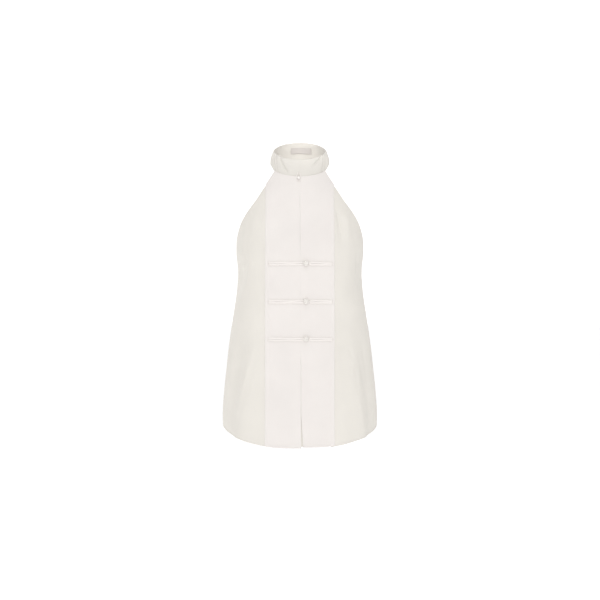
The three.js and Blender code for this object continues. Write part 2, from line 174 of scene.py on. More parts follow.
# Folds, as in the solids: angle at the top, at the hem, half width, height, start, full, end
FOLDS = (
    (-31, -46, 8, 4, -330, -480, -900),
    (-48, -66, 10, -7, -310, -500, -900),
    (36, 52, 8, 4, -340, -500, -900),
    (53, 65, 9, -6, -320, -510, -900),
    (34.5, 33, 3, -2.2, -84, -130, -205),
    (45, 38, 7, 2.4, -92, -145, -225),
    (-68, -70, 10, -6, -205, -252, -305),
    (72, 72, 8, -4, -190, -250, -320),
    (112, 115, 9, -6, -300, -560, -900),
    (134, 138, 9, 5, -280, -560, -900),
    (158, 160, 9, -6, -330, -600, -900),
    (-110, -113, 9, -6, -320, -560, -900),
    (-131, -134, 9, 6, -260, -560, -900),
    (-153, -158, 10, -5, -340, -600, -900),
)

# Finer creases: angle and level of each end, half width, height (a trough is below 0)
CREASES = (
    (35, -96, 34.5, -176, 5, -1.6),
    (46, -112, 43, -182, 11, 1.6),
    (-37, -104, -35, -160, 7, -0.9),
    (-44, -118, -41, -176, 12, 1.1),
    (58, -188, 66, -300, 9, -1.6),
    (-53, -184, -61, -296, 10, -1.7),
    (-30, -404, -44.5, -560, 6, -1.4),
    (-36, -430, -53, -586, 9, 1.2),
    (36.5, -408, 43.5, -452, 6, -1.3),
    (43, -446, 45, -530, 6, -1.5),
    (46, -512, 56, -580, 7, -1.3),
    (52, -400, 62, -520, 10, 1.2),
    (-72, -380, -79, -520, 9, 1.2),
    (77, -420, 82, -560, 9, -1.3),
    (-14, -452, -17, -600, 13, 0.8),
    (17, -470, 21, -610, 13, -0.7),
    (24, -330, 27, -380, 9, 0.6),
    (-22, -245, -28, -300, 10, -0.6),
    (23, -262, 30, -300, 8, -0.6),
    (-80, -196, -88, -262, 8, -1.2),
    (82, -200, 88, -270, 8, -1.1),
    (103, -196, 110, -330, 9, -1.8),
    (-104, -190, -109, -300, 10, -1.6),
    (124, -214, 129, -290, 9, -1.3),
    (-122, -230, -127, -352, 9, 1.4),
    (146, -250, 143, -420, 10, -1.6),
    (-141, -300, -146, -455, 9, -1.8),
    (171, -340, 168, -590, 12, 1.7),
    (-170, -380, -175, -600, 12, -1.6),
    (179, -214, 176, -300, 12, -1.0),
    (118, -420, 124, -600, 9, -1.8),
    (-116, -405, -121, -590, 8, 1.6),
    (149, -470, 152, -620, 8, 1.8),
    (-165, -215, -158, -290, 9, -1.0),
)

# Where a fold ends below the hem, and the shares of a crease over which it starts and ends
FOLD_END = -640
CREASE_START = (0, 0.35)
CREASE_END = (0.6, 0.4)

# Small uneven waves of worn cloth: how many, and their largest height
WAVES = 90
WAVE_HEIGHT = 0.55

# Where the slit opens and shuts: depth below the neck, and the height over which it does so
CHEST_SLIT = ((62, 20), (203, 12))
SKIRT_SLIT = (424, 22)

# Relief of the bands: the allowance turned in along the outer edge, the rounded edges, the fold
# along the opening, and how far the outer edge is sewn down onto the side front. A ridge ends at
# a distance from its edge and falls off over its step.
ALLOWANCE_RIDGE = {"height": 0.45, "at": 7.6, "step": 2.4}
OUTER_ROUNDING = {"depth": 0.28, "width": 1.0}
OPENING_ROUNDING = {"depth": 0.45, "width": 0.9}
OPENING_RIDGE = {"height": 0.12, "at": 8, "step": 3}
BAND_RELIEF = 0.8
SEWN_EDGE = {"depth": 0.8, "width": 1.7, "closeness": 0.9}
NECK_EDGE = {"depth": 0.15, "width": 2.2}
NECK_ROWS = 26
SIDE_SEAM_DENT = {"depth": 0.35, "width": 1.2}


def ease(t):
    t = np.clip(t, 0, 1)
    return t * t * (3 - 2 * t)


def smooth(table, at, column):
    """A column of a table at keys of its first column, along a smooth curve through its rows."""
    keys, values = table[:, 0], table[:, column]
    if keys[1] < keys[0]:
        keys, at = -keys, -np.asarray(at, float)
    at = np.asarray(at, float)
    i = np.clip(np.searchsorted(keys, at, side="left"), 1, len(keys) - 1)
    before, after = np.maximum(i - 2, 0), np.minimum(i + 1, len(keys) - 1)
    span = keys[i] - keys[i - 1]
    slope_a = (values[i] - values[before]) / (keys[i] - keys[before]) * span
    slope_b = (values[after] - values[i - 1]) / (keys[after] - keys[i - 1]) * span
    t = np.clip((at - keys[i - 1]) / span, 0, 1)
    return (
        values[i - 1] * (2 * t**3 - 3 * t**2 + 1)
        + slope_a * (t**3 - 2 * t**2 + t)
        + values[i] * (3 * t**2 - 2 * t**3)
        + slope_b * (t**3 - t**2)
    )


def angle_at_width(x, z):
    share = np.minimum(np.abs(x) / smooth(SECTIONS, z, HALF_WIDTH), 1)
    return np.sign(x) * np.degrees(np.arcsin(share ** (smooth(SECTIONS, z, SQUARE) / 2)))


def wrapped(angle):
    return (angle + 180) % 360 - 180


def unit(vectors):
    return vectors / np.linalg.norm(vectors, axis=-1, keepdims=True)


def walked_along(path):
    """How far along a path each of its points is."""
    return np.concatenate([[0], np.cumsum(np.linalg.norm(np.diff(path, axis=0), axis=1))])


def beside(dx, dz, along_x, along_z):
    """Where a place lies by a line: its share of the way along it, and its distance aside."""
    length = math.hypot(along_x, along_z)
    return (dx * along_x + dz * along_z) / length**2, (dx * along_z - dz * along_x) / length


def grown(t, starts, ends):
    """From 0 up to 1 and back, each way from a value of t over a width in t."""
    return ease((t - starts[0]) / starts[1]) * (1 - ease((t - ends[0]) / ends[1]))


def bell(distance, width):
    return np.exp(-((distance / width) ** 2))


def ridge_from(distance, ridge):
    """A low ridge from an edge to the ridge's own distance, where it falls off over its step."""
    return ridge["height"] * (1 - ease((distance - ridge["at"]) / ridge["step"]))


# How far a degree reaches across the cloth, for its creases and waves
MM_PER_DEGREE = 2.5

# Waves: angle, level, half width, half height, lean, height
random = np.random.default_rng(11)
wave_table = np.column_stack([
    random.uniform(-180, 180, WAVES),
    random.uniform(-600, -60, WAVES),
    random.uniform(9, 20, WAVES),
    random.uniform(28, 70, WAVES),
    random.uniform(-0.35, 0.35, WAVES),
    random.uniform(-WAVE_HEIGHT, WAVE_HEIGHT, WAVES),
])


def fold_height(angle, z):
    total = np.zeros(np.broadcast(angle, z).shape)
    for top, hem, width, height, start, full, end in FOLDS:
        depth = ease((start - z) / (start - full)) * (1 - ease((full - z) / (full - end)))
        middle = top + (hem - top) * np.clip((start - z) / (start - FOLD_END), 0, 1)
        total = total + height * depth * bell(wrapped(angle - middle), width)
    for angle_0, z_0, angle_1, z_1, width, height in CREASES:
        dx, dz = wrapped(angle - angle_0) * MM_PER_DEGREE, z - z_0
        t, aside = beside(dx, dz, (angle_1 - angle_0) * MM_PER_DEGREE, z_1 - z_0)
        total = total + height * grown(t, CREASE_START, CREASE_END) * bell(aside, width)
    for middle, level, wide, tall, lean, height in wave_table:
        dz = z - level
        dx = wrapped(angle - middle) * MM_PER_DEGREE - lean * dz
        total = total + height * np.exp(-((dx / wide) ** 2) - (dz / tall) ** 2)
    return total


def body_point(angle, z):
    angle, z = np.broadcast_arrays(np.asarray(angle, float), np.asarray(z, float))
    square = smooth(SECTIONS, z, SQUARE)
    sine, cosine = np.sin(np.radians(angle)), np.cos(np.radians(angle))
    depth = np.where(cosine > 0, smooth(SECTIONS, z, FRONT), smooth(SECTIONS, z, BACK))
    fold = fold_height(angle, z)
    wide = smooth(SECTIONS, z, HALF_WIDTH)
    x = wide * np.sign(sine) * np.abs(sine) ** (2 / square) + fold * sine
    y = -depth * np.sign(cosine) * np.abs(cosine) ** (2 / square) - fold * cosine
    return np.stack([x, y, z], -1)


def body_normal(angle, z):
    step = 0.5
    around = body_point(angle + step, z) - body_point(angle - step, z)
    up = body_point(angle, z + step) - body_point(angle, z - step)
    return unit(np.cross(around, up))


def hem_level(angle):
    turn = np.abs(wrapped(angle))
    turn = np.where(turn > 90, 180 - turn, turn)
    return HEM_AT_SIDE - smooth(HEM, turn, 1)


def neck_seam_level(x):
    return -NECK_SEAM_DROP * np.sqrt(1 - (x / COLLAR_BOTTOM[0]) ** 2) - NECK_SEAM_GAP


def armhole_width(z):
    return smooth(ARMHOLE, z, 1)


def opening_middle(z):
    return OPENING_DRIFT * np.clip(z / HEM_AT_SIDE, 0, 1)


def opening_gap(z):
    """The slit between the bands, shut at the neck and by the fastenings."""
    chest = grown(-z, *CHEST_SLIT)
    skirt = ease((-z - SKIRT_SLIT[0]) / SKIRT_SLIT[1])
    shut = OPENING_GAP["shut"]
    return shut + (OPENING_GAP["chest"] - shut) * chest + (OPENING_GAP["skirt"] - shut) * skirt


def side_seam_angle(z, half):
    share = SEAM_GAP / 2 / smooth(SECTIONS, z, half)
    return np.degrees(np.arccos(share ** (smooth(SECTIONS, z, SQUARE) / 2)))


# Meshes


def object_of(name, points, faces, uvs, material, slot):
    mesh = bpy.data.meshes.new(name)
    mesh.from_pydata((np.asarray(points) * MM).tolist(), [], faces)
    if uvs is not None:
        layer = mesh.uv_layers.new(name="cloth_grain")
        corner = np.empty(len(mesh.loops), dtype=np.int32)
        mesh.loops.foreach_get("vertex_index", corner)
        layer.data.foreach_set("uv", np.asarray(uvs)[corner].astype(np.float32).ravel())
    mesh.polygons.foreach_set("use_smooth", [True] * len(mesh.polygons))
    mesh.update()
    piece = bpy.data.objects.new(name, mesh)
    bpy.context.scene.collection.objects.link(piece)
    piece.data.materials.append(material)
    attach(piece, "root")
    return piece


def grid_uv(grid):
    across = np.linalg.norm(np.diff(grid, axis=1), axis=-1)
    down = np.linalg.norm(np.diff(grid, axis=0), axis=-1)
    u = np.concatenate([np.zeros((grid.shape[0], 1)), np.cumsum(across, 1)], 1)
    v = np.concatenate([np.zeros((1, grid.shape[1])), np.cumsum(down, 0)], 0)
    return np.stack([u - u.mean(1, keepdims=True), v], -1) * MM


def shell(name, outer, inner, material, slot, rounding=0.5):
    """A closed wall of cloth between two grids of points, with rounded edges all round."""
    rows, columns = outer.shape[:2]
    uv = grid_uv(outer)
    index = np.arange(rows * columns).reshape(rows, columns)
    ring = np.concatenate([index[0, :-1], index[:-1, -1], index[-1, :0:-1], index[:0:-1, 0]])
    flat_out, flat_in = outer.reshape(-1, 3), inner.reshape(-1, 3)
    row, column = np.divmod(index, columns)
    inward = (np.clip(row, 1, rows - 2) * columns + np.clip(column, 1, columns - 2)).ravel()
    middle = (flat_out + flat_in) / 2
    away = middle[ring] - middle[inward[ring]]
    away /= np.maximum(np.linalg.norm(away, axis=1, keepdims=True), 1e-6)
    half = np.linalg.norm(flat_out[ring] - flat_in[ring], axis=1, keepdims=True) / 2
    rim = middle[ring] + away * half * rounding
    count = rows * columns
    points = np.concatenate([flat_out, flat_in, rim])
    flat_uv = uv.reshape(-1, 2)
    uvs = np.concatenate([flat_uv, flat_uv, flat_uv[ring]])
    a, b = index[:-1, :-1].ravel(), index[:-1, 1:].ravel()
    c, d = index[1:, 1:].ravel(), index[1:, :-1].ravel()
    outside = np.stack([a, d, c, b], 1)
    inside = np.stack([a, b, c, d], 1) + count
    k = np.arange(len(ring))
    n = (k + 1) % len(ring)
    edge_out = np.stack([ring, ring[n], 2 * count + n, 2 * count + k], 1)
    edge_in = np.stack([2 * count + k, 2 * count + n, count + ring[n], count + ring], 1)
    faces = np.concatenate([outside, inside, edge_out, edge_in])
    first = points[faces[:, 0]]
    normals = np.cross(points[faces[:, 1]] - first, points[faces[:, 2]] - first)
    volume = (first * normals).sum()
    if volume < 0:
        faces = faces[:, ::-1]
    return object_of(name, points, faces.tolist(), uvs, material, slot)


def distance_to(points, line):
    """Each point's distance to the nearest point of a finely divided line."""
    flat = points.reshape(-1, 3)
    best = np.empty(len(flat))
    batch = 4000
    for start in range(0, len(flat), batch):
        part = flat[start:start + batch]
        gap = np.linalg.norm(part[:, None, :] - line[None, :, :], axis=-1)
        best[start:start + batch] = gap.min(1)
    return best.reshape(points.shape[:-1])


def turned_edge(distance, turn, stitch):
    """How far a turned and stitched edge stands out, by the distance from that edge."""
    turned = TURN_HEIGHT * (1 - ease((distance - turn) / TURN_STEP))
    sunk = -STITCH_DENT["depth"] * TURN_HEIGHT * bell(distance - stitch, STITCH_DENT["width"])
    sunk = sunk - TURN_PULL * TURN_HEIGHT
    return np.where(distance < turn + TURN_REACH, turned + sunk, 0)


def parted(coarse, first=(), last=(), length=100.0):
    """Shares of a rough length: fine steps (size, width) at its ends, coarse ones between."""
    head, tail = [0.0], [length]
    for size, width in first:
        head += [head[-1] + size * (i + 1) for i in range(max(1, round(width / size)))]
    for size, width in last:
        tail += [tail[-1] - size * (i + 1) for i in range(max(1, round(width / size)))]
    steps = max(2, round((tail[-1] - head[-1]) / coarse))
    between = np.linspace(head[-1], tail[-1], steps + 1)[1:-1]
    return np.concatenate([head, between, tail[::-1]]) / length


def ring_faces(rings, sides):
    """The faces of a tube or turned piece, with its two ends closed."""
    faces = []
    for i in range(rings - 1):
        for k in range(sides):
            m = (k + 1) % sides
            faces.append((i * sides + k, i * sides + m, (i + 1) * sides + m, (i + 1) * sides + k))
    faces.append(tuple(range(sides))[::-1])
    faces.append(tuple(range((rings - 1) * sides, rings * sides)))
    return faces


def tube(path, frames, radius_aside, radius_out, sides=14, square=2.0):
    """A cord along path; frames holds (aside, out) unit vectors for each point."""
    turn = np.linspace(0, 2 * math.pi, sides, endpoint=False)
    wide = np.sign(np.cos(turn)) * np.abs(np.cos(turn)) ** (2 / square)
    tall = np.sign(np.sin(turn)) * np.abs(np.sin(turn)) ** (2 / square)
    aside, out = frames
    scale = np.ones(len(path))
    scale[0] = scale[-1] = CORD_END
    ring = (
        path[:, None, :]
        + aside[:, None, :] * (wide[None, :, None] * radius_aside) * scale[:, None, None]
        + out[:, None, :] * (tall[None, :, None] * radius_out) * scale[:, None, None]
    )
    along = walked_along(path)
    uvs = np.stack(np.broadcast_arrays(turn[None, :] * radius_aside, along[:, None]), -1)
    return ring.reshape(-1, 3), ring_faces(len(path), sides), uvs.reshape(-1, 2) * MM


def at_length(s, walked, table):
    return np.array([np.interp(s, walked, table[:, i]) for i in range(3)])


def stitches(name, lines, length=STITCH, gap=STITCH_GAP, radius=THREAD):
    """Rows of stitches. Each line is (points, normals) of a finely divided path on the cloth."""
    sides, rings = 6, 5
    turn = np.linspace(0, 2 * math.pi, sides, endpoint=False)
    along = np.linspace(-1, 1, rings)
    swell = np.sqrt(np.maximum(1 - along**4, THREAD_END))
    all_points, all_faces = [], []
    base = 0
    pattern = ring_faces(rings, sides)
    for path, normals in lines:
        walked = walked_along(path)
        middles = np.arange(length / 2 + gap / 2, walked[-1] - length / 2, length + gap)
        for middle in middles:
            centre = at_length(middle, walked, path)
            normal = at_length(middle, walked, normals)
            before, after = (at_length(middle + step, walked, path) for step in (-0.5, 0.5))
            tangent = unit(after - before)
            aside = unit(np.cross(normal, tangent))
            centre = centre + normal * (radius * 0.5 - THREAD_SINK)
            arch = normal[None, :] * (THREAD_ARCH * (1 - along**2))[:, None]
            spine = centre + tangent[None, :] * (along * length / 2)[:, None] + arch
            ring = (
                spine[:, None, :]
                + aside * (np.cos(turn)[None, :] * radius * swell[:, None])[..., None]
                + normal * (np.sin(turn)[None, :] * radius * swell[:, None])[..., None]
            )
            all_points.append(ring.reshape(-1, 3))
            all_faces.extend(tuple(i + base for i in face) for face in pattern)
            base += sides * rings
    return object_of(name, np.concatenate(all_points), all_faces, None, thread, "cord")


# Materials


def new_material(name, color, roughness, sheen=0.0, specular=0.5):
    material = bpy.data.materials.new(name)
    material.use_nodes = True
    shader = material.node_tree.nodes["Principled BSDF"]
    shader.inputs["Base Color"].default_value = (*color, 1)
    shader.inputs["Roughness"].default_value = roughness
    shader.inputs["Specular IOR Level"].default_value = specular
    if sheen:
        shader.inputs["Sheen Weight"].default_value = sheen
        shader.inputs["Sheen Roughness"].default_value = 0.45
    return material, material.node_tree, shader


def noise_node(nodes, scale, detail):
    noise = nodes.new("ShaderNodeTexNoise")
    noise.inputs["Scale"].default_value = scale
    noise.inputs["Detail"].default_value = detail
    return noise


def ramp_node(nodes, *stops):
    ramp = nodes.new("ShaderNodeValToRGB")
    for element, (position, color) in zip(ramp.color_ramp.elements, stops):
        element.position = position
        element.color = (*color, 1)
    return ramp


def cloth_material(name, color, yarn_width=0.42, mottle=0.03, slub_depth=0.00006, sheen=0.08):
    """Plain woven cloth: crossing threads, uneven yarn and faint changes of tone."""
    material, tree, shader = new_material(name, color, 0.8, sheen, specular=0.15)
    nodes, links = tree.nodes, tree.links
    grain = nodes.new("ShaderNodeUVMap")
    grain.uv_map = "cloth_grain"
    parts = nodes.new("ShaderNodeSeparateXYZ")
    links.new(grain.outputs["UV"], parts.inputs[0])

    def maths(operation, a, b=None):
        node = nodes.new("ShaderNodeMath")
        node.operation = operation
        for socket, value in zip(node.inputs, (a, b)):
            if value is None:
                continue
            if isinstance(value, (int, float)):
                socket.default_value = value
            else:
                links.new(value, socket)
        return node.outputs[0]

    turns = math.pi / (yarn_width * MM)
    warp = maths("SINE", maths("MULTIPLY", parts.outputs["X"], turns))
    weft = maths("SINE", maths("MULTIPLY", parts.outputs["Y"], turns))
    weave = maths("MULTIPLY", warp, weft)

    def yarn(scale_x, scale_y, detail):
        mapping = nodes.new("ShaderNodeMapping")
        mapping.inputs["Scale"].default_value = (scale_x, scale_y, 1)
        noise = noise_node(nodes, 1, detail)
        links.new(grain.outputs["UV"], mapping.inputs["Vector"])
        links.new(mapping.outputs["Vector"], noise.inputs["Vector"])
        return noise.outputs["Fac"]

    def bump(height, strength, distance, under=None):
        node = nodes.new("ShaderNodeBump")
        node.inputs["Strength"].default_value = strength
        node.inputs["Distance"].default_value = distance
        links.new(height, node.inputs["Height"])
        if under is not None:
            links.new(under, node.inputs["Normal"])
        return node.outputs["Normal"]

    slub = maths("ADD", yarn(*SLUB, 2), yarn(*SLUB[::-1], 2))
    crumple = yarn(*CRUMPLE, 2)
    relief = bump(weave, 0.5, WEAVE_DEPTH)
    relief = bump(slub, 0.6, slub_depth, relief)
    relief = bump(crumple, 0.5, CRUMPLE_DEPTH, relief)
    links.new(relief, shader.inputs["Normal"])

    tone = noise_node(nodes, TONE, 3)
    place = nodes.new("ShaderNodeTexCoord")
    links.new(place.outputs["Object"], tone.inputs["Vector"])
    broad, narrow = maths("MULTIPLY", tone.outputs["Fac"], 0.7), maths("MULTIPLY", slub, 0.15)
    mixed = maths("ADD", broad, narrow)
    darker = [c * (1 - mottle) for c in color]
    lighter = [min(1, c * (1 + mottle)) for c in color]
    ramp = ramp_node(nodes, (0.3, darker), (0.75, lighter))
    links.new(mixed, ramp.inputs["Fac"])
    links.new(ramp.outputs["Color"], shader.inputs["Base Color"])
    return material


def thread_material():
    color = (0.75, 0.72, 0.675)
    material, tree, shader = new_material("ivory_thread", color, 0.55, sheen=0.1, specular=0.4)
    noise = noise_node(tree.nodes, 2600, 2)
    bump = tree.nodes.new("ShaderNodeBump")
    bump.inputs["Distance"].default_value = 0.0001
    tree.links.new(noise.outputs["Fac"], bump.inputs["Height"])
    tree.links.new(bump.outputs["Normal"], shader.inputs["Normal"])
    return material


def button_material():
    color = (0.765, 0.735, 0.695)
    material, tree, shader = new_material("pale_button", color, 0.3, specular=0.45)
    clouds = noise_node(tree.nodes, 240, 4)
    clouds.inputs["Distortion"].default_value = 1.2
    ramp = ramp_node(tree.nodes, (0.35, (0.725, 0.695, 0.655)), (0.7, (0.805, 0.775, 0.735)))
    tree.links.new(clouds.outputs["Fac"], ramp.inputs["Fac"])
    tree.links.new(ramp.outputs["Color"], shader.inputs["Base Color"])
    return material


# Scales, in parts a metre, of thicker places in the yarn (across it and along it), of the soft
# crumple and of the changes of tone, and two depths in metres
SLUB = (900, 60)
CRUMPLE = (38, 30)
TONE = 14
WEAVE_DEPTH = 0.00004
CRUMPLE_DEPTH = 0.0006

IVORY = np.array((0.797, 0.757, 0.729))
LABEL_COLOR = (0.585, 0.55, 0.525)
cloth = cloth_material("ivory_cloth", IVORY)
# Painted shade: a darker copy of the ivory cloth for the single layers, standing in for the shade
# of the hollow seen through them.
shaded_single_cloth = cloth_material("ivory_single_cloth_painted_shade", IVORY * (0.96, 0.97, 0.935))
# Painted shade: a darker copy of the ivory cloth for the collar, standing in for the shade it sits
# in.
shaded_collar_cloth = cloth_material("ivory_collar_cloth_painted_shade", IVORY * (0.91, 0.92, 0.89))
# Painted light: a lighter copy of the ivory cloth for the cords, lifting the shade in their
# grooves and along their edges.
lightened_cord_cloth = cloth_material("ivory_cord_painted_light", IVORY * 1.05, yarn_width=0.36, slub_depth=0.0001)
label_cloth = cloth_material("label_tape", LABEL_COLOR, yarn_width=0.3, mottle=0.05, sheen=0.3)
thread = thread_material()
shell_button = button_material()
# Painted light: the ball is made lighter than the cloth, lifting the shade on its underside and
# below it.
ball_button, _, _ = new_material("pale_ball_painted_light", (0.9, 0.865, 0.835), 0.5, specular=0.3)


# Panels


def panel_grids(angle, z, inner_lift, outer_lift):
    """The outside and the inside of a panel, each a grid of points off the body's form."""
    base, normal = body_point(angle, z), body_normal(angle, z)
    return (
        base + normal * np.asarray(outer_lift)[..., None],
        base + normal * np.asarray(inner_lift)[..., None],
    )


def line_on_body(angle, z, lift):
    base, normal = body_point(angle, z), body_normal(angle, z)
    return base + normal * lift, normal


def moved_in(angle, z, distance, toward):
    """The angles of a line moved across the cloth, toward rising (1) or falling (-1) angles."""
    points = body_point(angle, z)
    along = unit(np.gradient(points, axis=0))
    around = body_point(angle + 0.5, z) - body_point(angle - 0.5, z)
    per_degree = np.linalg.norm(around, axis=1)
    up = body_point(angle, z + 0.5) - body_point(angle, z - 0.5)
    around_unit = around / per_degree[:, None]
    a, b = (along * around_unit).sum(1), (along * unit(up)).sum(1)
    return angle + toward * distance * np.abs(b / np.hypot(a, b)) / per_degree


def side_front(side, name):
    inner_x = BAND_HALF_WIDTH - SEAM_ALLOWANCE
    u = parted(2.4, first=((1.2, 9.6),), last=((0.6, 9), (1.2, 4.8)), length=105)
    v = parted(2.6, first=((1.2, 7.2),), last=((0.6, 7.2), (1.2, 4.8)), length=560)

    def edge_angle(z):
        seam = side_seam_angle(z, FRONT)
        arm = angle_at_width(armhole_width(z), z)
        return np.where(z > UNDERARM, np.minimum(arm, seam), seam)

    start = angle_at_width(inner_x, HEM_AT_SIDE)
    hem = hem_level(start + (90 - start) * u)
    z = SIDE_FRONT_TOP + (hem[None, :] - SIDE_FRONT_TOP) * v[:, None]
    low, high = angle_at_width(inner_x, z), edge_angle(z)
    angle = side * (low + (high - low) * u[None, :])
    base = body_point(angle, z)
    z_arm = np.linspace(SIDE_FRONT_TOP, UNDERARM + 0.01, 260)
    arm_line = body_point(side * edge_angle(z_arm), z_arm)
    hem_line = base[-1]
    outer = turned_edge(distance_to(base, hem_line), HEM_TURN, HEM_STITCH)
    outer = outer + turned_edge(distance_to(base, arm_line), ARMHOLE_TURN, ARMHOLE_STITCH)
    piece = shell(name, *panel_grids(angle, z, -CLOTH, outer), shaded_single_cloth, "cloth")

    z_row = np.linspace(SIDE_FRONT_TOP - 4, UNDERARM + 3, 200)
    edge = side * edge_angle(z_row)
    angle_row = moved_in(edge, z_row, ARMHOLE_STITCH, -side)
    lines = [line_on_body(angle_row, z_row, STITCH_LIFT)]
    turn = np.linspace(angle_at_width(BAND_HALF_WIDTH, HEM_AT_SIDE), 89, 200)
    hem_row = hem_level(turn) + HEM_STITCH
    lines.append(line_on_body(side * turn, hem_row, STITCH_LIFT))
    return piece, stitches(f"{name}_stitches", lines)


def front_band(side, name):
    shorter = LEFT_BAND_SHORTER if side > 0 else 0
    width = BAND_HALF_WIDTH
    u = parted(2.4, first=((0.5, 4), (1.2, 3.6)), last=((0.5, 3), (1.0, 10)), length=width)
    v = parted(2.6, first=((0.6, 6),), last=((0.6, 7.2), (1.2, 4.8)), length=590)
    neck = neck_seam_level(u * NECK_CORNER_HALF_WIDTH)
    hem = hem_level(angle_at_width(u * width, HEM_AT_SIDE)) + shorter
    z_rows = SHOULDER_POINT + (hem - SHOULDER_POINT)[None, :] * v[:, None]
    top_rows = np.linspace(0, 1, NECK_ROWS)[:-1]
    z_top = neck[None, :] + (SHOULDER_POINT - neck)[None, :] * top_rows[:, None]
    z = np.concatenate([z_top, z_rows])
    outer_edge = np.minimum(armhole_width(z[:, -1]), width)[:, None]
    gap = opening_gap(z)
    inner = opening_middle(z) + side * gap / 2
    if side > 0:
        inner = inner + OPENING_FLARE * ease((OPENING_FLARE_TOP - z) / OPENING_FLARE_HEIGHT)
    x = inner + (side * outer_edge - inner) * u[None, :]
    angle = angle_at_width(x, z)
    base = body_point(angle, z)
    from_outer = distance_to(base, base[:, -1])
    from_opening = distance_to(base, base[:, 0])
    from_hem = distance_to(base, base[-1])
    from_neck = distance_to(base, base[0])
    on_arm = (z[:, -1] > SHOULDER_POINT)[:, None]
    from_arm = distance_to(base, base[:NECK_ROWS, -1])
    ridge = (
        ridge_from(from_outer, ALLOWANCE_RIDGE)
        - OUTER_ROUNDING["depth"] * bell(from_outer, OUTER_ROUNDING["width"])
        - OPENING_ROUNDING["depth"] * gap * bell(from_opening, OPENING_ROUNDING["width"])
        + ridge_from(from_opening, OPENING_RIDGE)
        + turned_edge(from_hem, HEM_TURN, HEM_STITCH)
        + np.where(on_arm, turned_edge(from_arm, ARMHOLE_TURN, ARMHOLE_STITCH), 0)
    )
    sewn_edge = bell(from_outer, SEWN_EDGE["width"]) * np.where(on_arm, 0, 1)
    outer = (
        BAND_LIFT + CLOTH + ridge * BAND_RELIEF
        - SEWN_EDGE["depth"] * sewn_edge
        - NECK_EDGE["depth"] * bell(from_neck, NECK_EDGE["width"])
    )
    points = panel_grids(angle, z, BAND_LIFT * (1 - SEWN_EDGE["closeness"] * sewn_edge), outer)
    piece = shell(name, *points, cloth, "cloth")

    lift = BAND_LIFT + CLOTH
    x_row = np.linspace(4, width - 1, 120) * side
    turn = angle_at_width(x_row, HEM_AT_SIDE)
    hem_row = hem_level(turn) + shorter + HEM_STITCH
    lines = [line_on_body(turn, hem_row, lift + BAND_STITCH_LIFT["hem"])]
    z_row = np.linspace(-22, SHOULDER_POINT - 2, 60)
    edge = angle_at_width(side * np.minimum(armhole_width(z_row), width), z_row)
    angle_row = moved_in(edge, z_row, ARMHOLE_STITCH, -side)
    lines.append(line_on_body(angle_row, z_row, lift + BAND_STITCH_LIFT["armhole"]))
    return piece, stitches(f"{name}_stitches", lines)


def opening_guard():
    u = parted(2.5, first=((0.8, 2.4),), last=((0.8, 2.4),), length=2 * GUARD_HALF_WIDTH)
    v = parted(4, first=((1, 5),), last=((0.8, 8),), length=600)
    aside = -GUARD_HALF_WIDTH + 2 * GUARD_HALF_WIDTH * u
    hem = hem_level(0) + 2 * LEFT_BAND_SHORTER
    neck = neck_seam_level(aside)
    z = neck[None, :] + (hem - neck)[None, :] * v[:, None]
    angle = angle_at_width(opening_middle(z) + aside[None, :], z)
    grids = panel_grids(angle, z, -CLOTH, -GUARD_DEPTH)
    return shell("guard_strip", *grids, shaded_single_cloth, "cloth")


def back_top(across):
    """The level of the back's upper edge, from 0 at one side seam to 180 at the other."""
    return UNDERARM - BACK_TOP_DIP * np.sin(np.radians(across)) ** 2


def low_back():
    u = parted(2.8, first=((1, 5),), last=((1, 5),), length=420)
    v = parted(2.8, first=((0.6, 9.6), (1.2, 4.8)), last=((0.6, 7.2), (1.2, 4.8)), length=440)
    across = 180 * u
    top = back_top(across)
    hem = hem_level(90 - across)
    z = top[None, :] + (hem - top)[None, :] * v[:, None]
    angle = 180 + side_seam_angle(z, BACK) * (2 * u[None, :] - 1)
    base = body_point(angle, z)
    outer = turned_edge(distance_to(base, base[-1]), HEM_TURN, HEM_STITCH)
    outer = outer + turned_edge(distance_to(base, base[0]), ARMHOLE_TURN, ARMHOLE_STITCH)
    seam = np.minimum(distance_to(base, base[:, 0]), distance_to(base, base[:, -1]))
    outer = outer - SIDE_SEAM_DENT["depth"] * bell(seam, SIDE_SEAM_DENT["width"])
    piece = shell("back_panel", *panel_grids(angle, z, -CLOTH, outer), shaded_single_cloth, "cloth")
    across = np.linspace(1, 179, 400)
    turn = 90 + across
    lines = [
        line_on_body(turn, hem_level(turn) + HEM_STITCH, STITCH_LIFT),
        line_on_body(turn, back_top(across) - ARMHOLE_STITCH, STITCH_LIFT),
    ]
    return piece, stitches("back_panel_stitches", lines)


# Collar

# Creases of the collar: angle and share of the way up at each end, half width in mm, height
COLLAR_CREASES = (
    (-50, 0.95, -22, 0.05, 2.9, -3.3),
    (57, 1.0, 25, 0.5, 2.8, -3.1),
    (-38, 1.0, -12, 0.3, 6, 1.0),
    (50, 0.6, 34, 0.05, 6, 0.9),
    (4, 0.75, 30, 0.35, 5, -0.35),
    (98, 0.9, 120, 0.3, 4, -0.8),
    (-101, 0.95, -122, 0.35, 4, -0.7),
    (150, 0.85, 168, 0.2, 5, -0.7),
    (-142, 0.8, -164, 0.3, 5, -0.8),
    (128, 0.6, 141, 0.15, 6, 0.6),
)
COLLAR_RADIUS = 60
COLLAR_HEIGHT = 38
INNER_RELIEF = 0.6  # the share of the relief that shows on the collar's inside

# The collar's side seam: its angle at the top and bottom. Along it run a ridge, a trough on each
# side (height, distance behind the seam, half width) and a soft swell behind, all in degrees.
SEAM_AT_TOP = 68
SEAM_AT_BOTTOM = 53
SEAM_RELIEF = ((1.3, 0, 1.4), (-1.7, 4, 2.2), (-1.3, -3.8, 2.3))
SEAM_SWELL = {"height": 1.1, "starts": (4, 12), "ends": (26, 22)}

